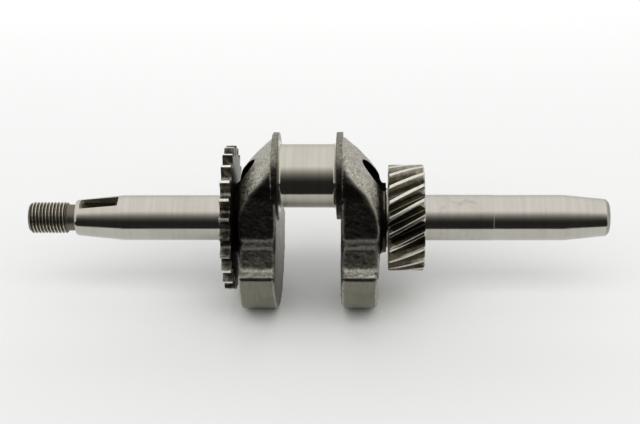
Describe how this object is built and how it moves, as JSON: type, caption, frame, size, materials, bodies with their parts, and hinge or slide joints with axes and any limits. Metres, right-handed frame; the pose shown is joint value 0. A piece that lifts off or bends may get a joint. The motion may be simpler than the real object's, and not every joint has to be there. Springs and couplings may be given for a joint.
{
  "type": "crankshaft",
  "caption": "Forged single-throw engine crankshaft with a pressed-on chain sprocket and a helical timing gear, threaded taper at one end and plain taper at the other.",
  "frame": {"origin": "on the main axis, in the flat end face of the threaded flywheel end", "axes": "+X along the main axis towards the tapered power take-off end, +Z from the main axis through the crankpin, +Y completes the right-handed frame"},
  "size_m": [0.2554, 0.0768, 0.0791],
  "materials": {
    "forged_steel": "ground journals, dark forged webs",
    "sprocket_steel": "heat-treated, bright tooth tips",
    "gear_steel": "cut teeth, dark valleys"
  },
  "bodies": {
    "root": {"crankshaft": "forged_steel", "timing_sprocket": "sprocket_steel", "helical_gear": "gear_steel"}
  },
  "joints": []
}
